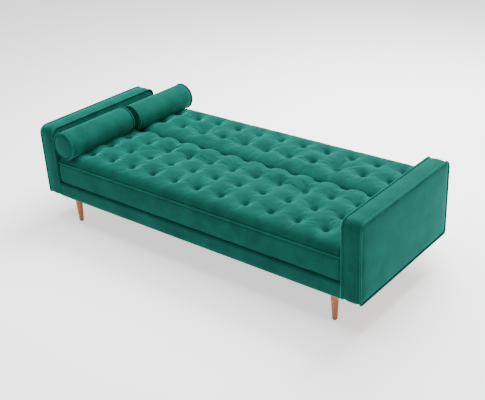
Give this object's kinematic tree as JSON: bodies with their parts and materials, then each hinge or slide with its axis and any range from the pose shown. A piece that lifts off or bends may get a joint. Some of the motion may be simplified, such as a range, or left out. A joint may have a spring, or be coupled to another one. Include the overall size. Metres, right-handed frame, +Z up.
{
  "type": "futon sofa bed",
  "caption": "Click-clack sofa bed folded flat: tufted seat and folding back between two padded arms, low upholstered base, tapered wooden legs and loose bolster cushions.",
  "frame": {"origin": "on the floor under the middle of the bed's overall length and depth", "axes": "+X to the right as seen from the front, along the bed's length; +Y from the front towards the back; +Z up"},
  "size_m": [2.14, 0.98, 0.585],
  "materials": {
    "velvet": "short-pile green velvet",
    "piping": "velvet-covered piping cord",
    "lining": "thin black non-woven",
    "leg_wood": "satin lacquered",
    "frame_timber": "sawn, unfinished",
    "hinge_steel": "black powder coat",
    "zinc_steel": "zinc plated",
    "spring_steel": "oiled wire",
    "glide_plastic": "moulded",
    "rubber": "moulded"
  },
  "bodies": {
    "base": {"arm_bolts": "zinc_steel", "arm_frame_left": "frame_timber", "arm_frame_right": "frame_timber", "arm_pad_left": "velvet", "arm_pad_right": "velvet", "arm_welts_left": "piping", "arm_welts_right": "piping", "back_support_blocks": "frame_timber", "back_support_pads": "rubber", "cross_rail_centre": "frame_timber", "cross_rail_left": "frame_timber", "cross_rail_right": "frame_timber", "dust_cover": "lining", "front_rail": "frame_timber", "front_rail_cover": "velvet", "hinge_pivot_left": "zinc_steel", "hinge_pivot_right": "zinc_steel", "leg_blocks": "frame_timber", "leg_bolts": "zinc_steel", "leg_centre": "leg_wood", "leg_front_left": "leg_wood", "leg_front_right": "leg_wood", "leg_glides": "glide_plastic", "leg_rear_left": "leg_wood", "leg_rear_right": "leg_wood", "pawl_pin_left": "zinc_steel", "pawl_pin_right": "zinc_steel", "pawl_spring_left": "spring_steel", "pawl_spring_right": "spring_steel", "rear_rail": "frame_timber", "seat_bolts": "zinc_steel", "seat_frame": "frame_timber", "seat_hinge_plate_left": "hinge_steel", "seat_hinge_plate_right": "hinge_steel", "seat_pad": "velvet", "seat_plate_screws": "zinc_steel", "seat_spring_clips": "spring_steel", "seat_springs": "spring_steel", "seat_welt": "piping", "side_rail_left": "frame_timber", "side_rail_right": "frame_timber"},
    "back": {"back_cover": "velvet", "back_frame": "frame_timber", "back_hinge_plate_left": "hinge_steel", "back_hinge_plate_right": "hinge_steel", "back_pad": "velvet", "back_plate_screws": "zinc_steel", "back_spring_clips": "spring_steel", "back_springs": "spring_steel", "back_welt": "piping"},
    "bolster_front": {"bolster_front": "velvet", "bolster_front_welts": "piping"},
    "bolster_rear": {"bolster_rear": "velvet", "bolster_rear_welts": "piping"},
    "pawl_left": {"pawl_left": "hinge_steel"},
    "pawl_right": {"pawl_right": "hinge_steel"}
  },
  "joints": [
    {"name": "back_fold", "type": "hinge", "parent": "base", "child": "back", "pos_m": [0, 0.075, 0.385], "axis": [1, 0, 0], "range_deg": [0, 90]},
    {"name": "bolster_rear_swing", "type": "hinge", "parent": "back", "child": "bolster_rear", "pos_m": [-0.655, -0.0225, 0.5], "axis": [0, 0, 1], "range_deg": [-90, 0]},
    {"name": "bolster_front_lift", "type": "slide", "parent": "base", "child": "bolster_front", "axis": [0, 0, 1], "range_m": [0, 0.25]},
    {"name": "pawl_left_rock", "type": "hinge", "parent": "base", "child": "pawl_left", "pos_m": [-0.945, 0.012, 0.352], "axis": [-1, 0, 0], "range_deg": [0, 8], "stiffness_Nm_per_rad": 0.5, "springref_deg": -11.46},
    {"name": "pawl_right_rock", "type": "hinge", "parent": "base", "child": "pawl_right", "pos_m": [0.945, 0.012, 0.352], "axis": [-1, 0, 0], "range_deg": [0, 8], "stiffness_Nm_per_rad": 0.5, "springref_deg": -11.46}
  ],
  "couplings": [
    {"joint": "bolster_rear_swing", "follows": "back_fold", "ratio": -1}
  ]
}
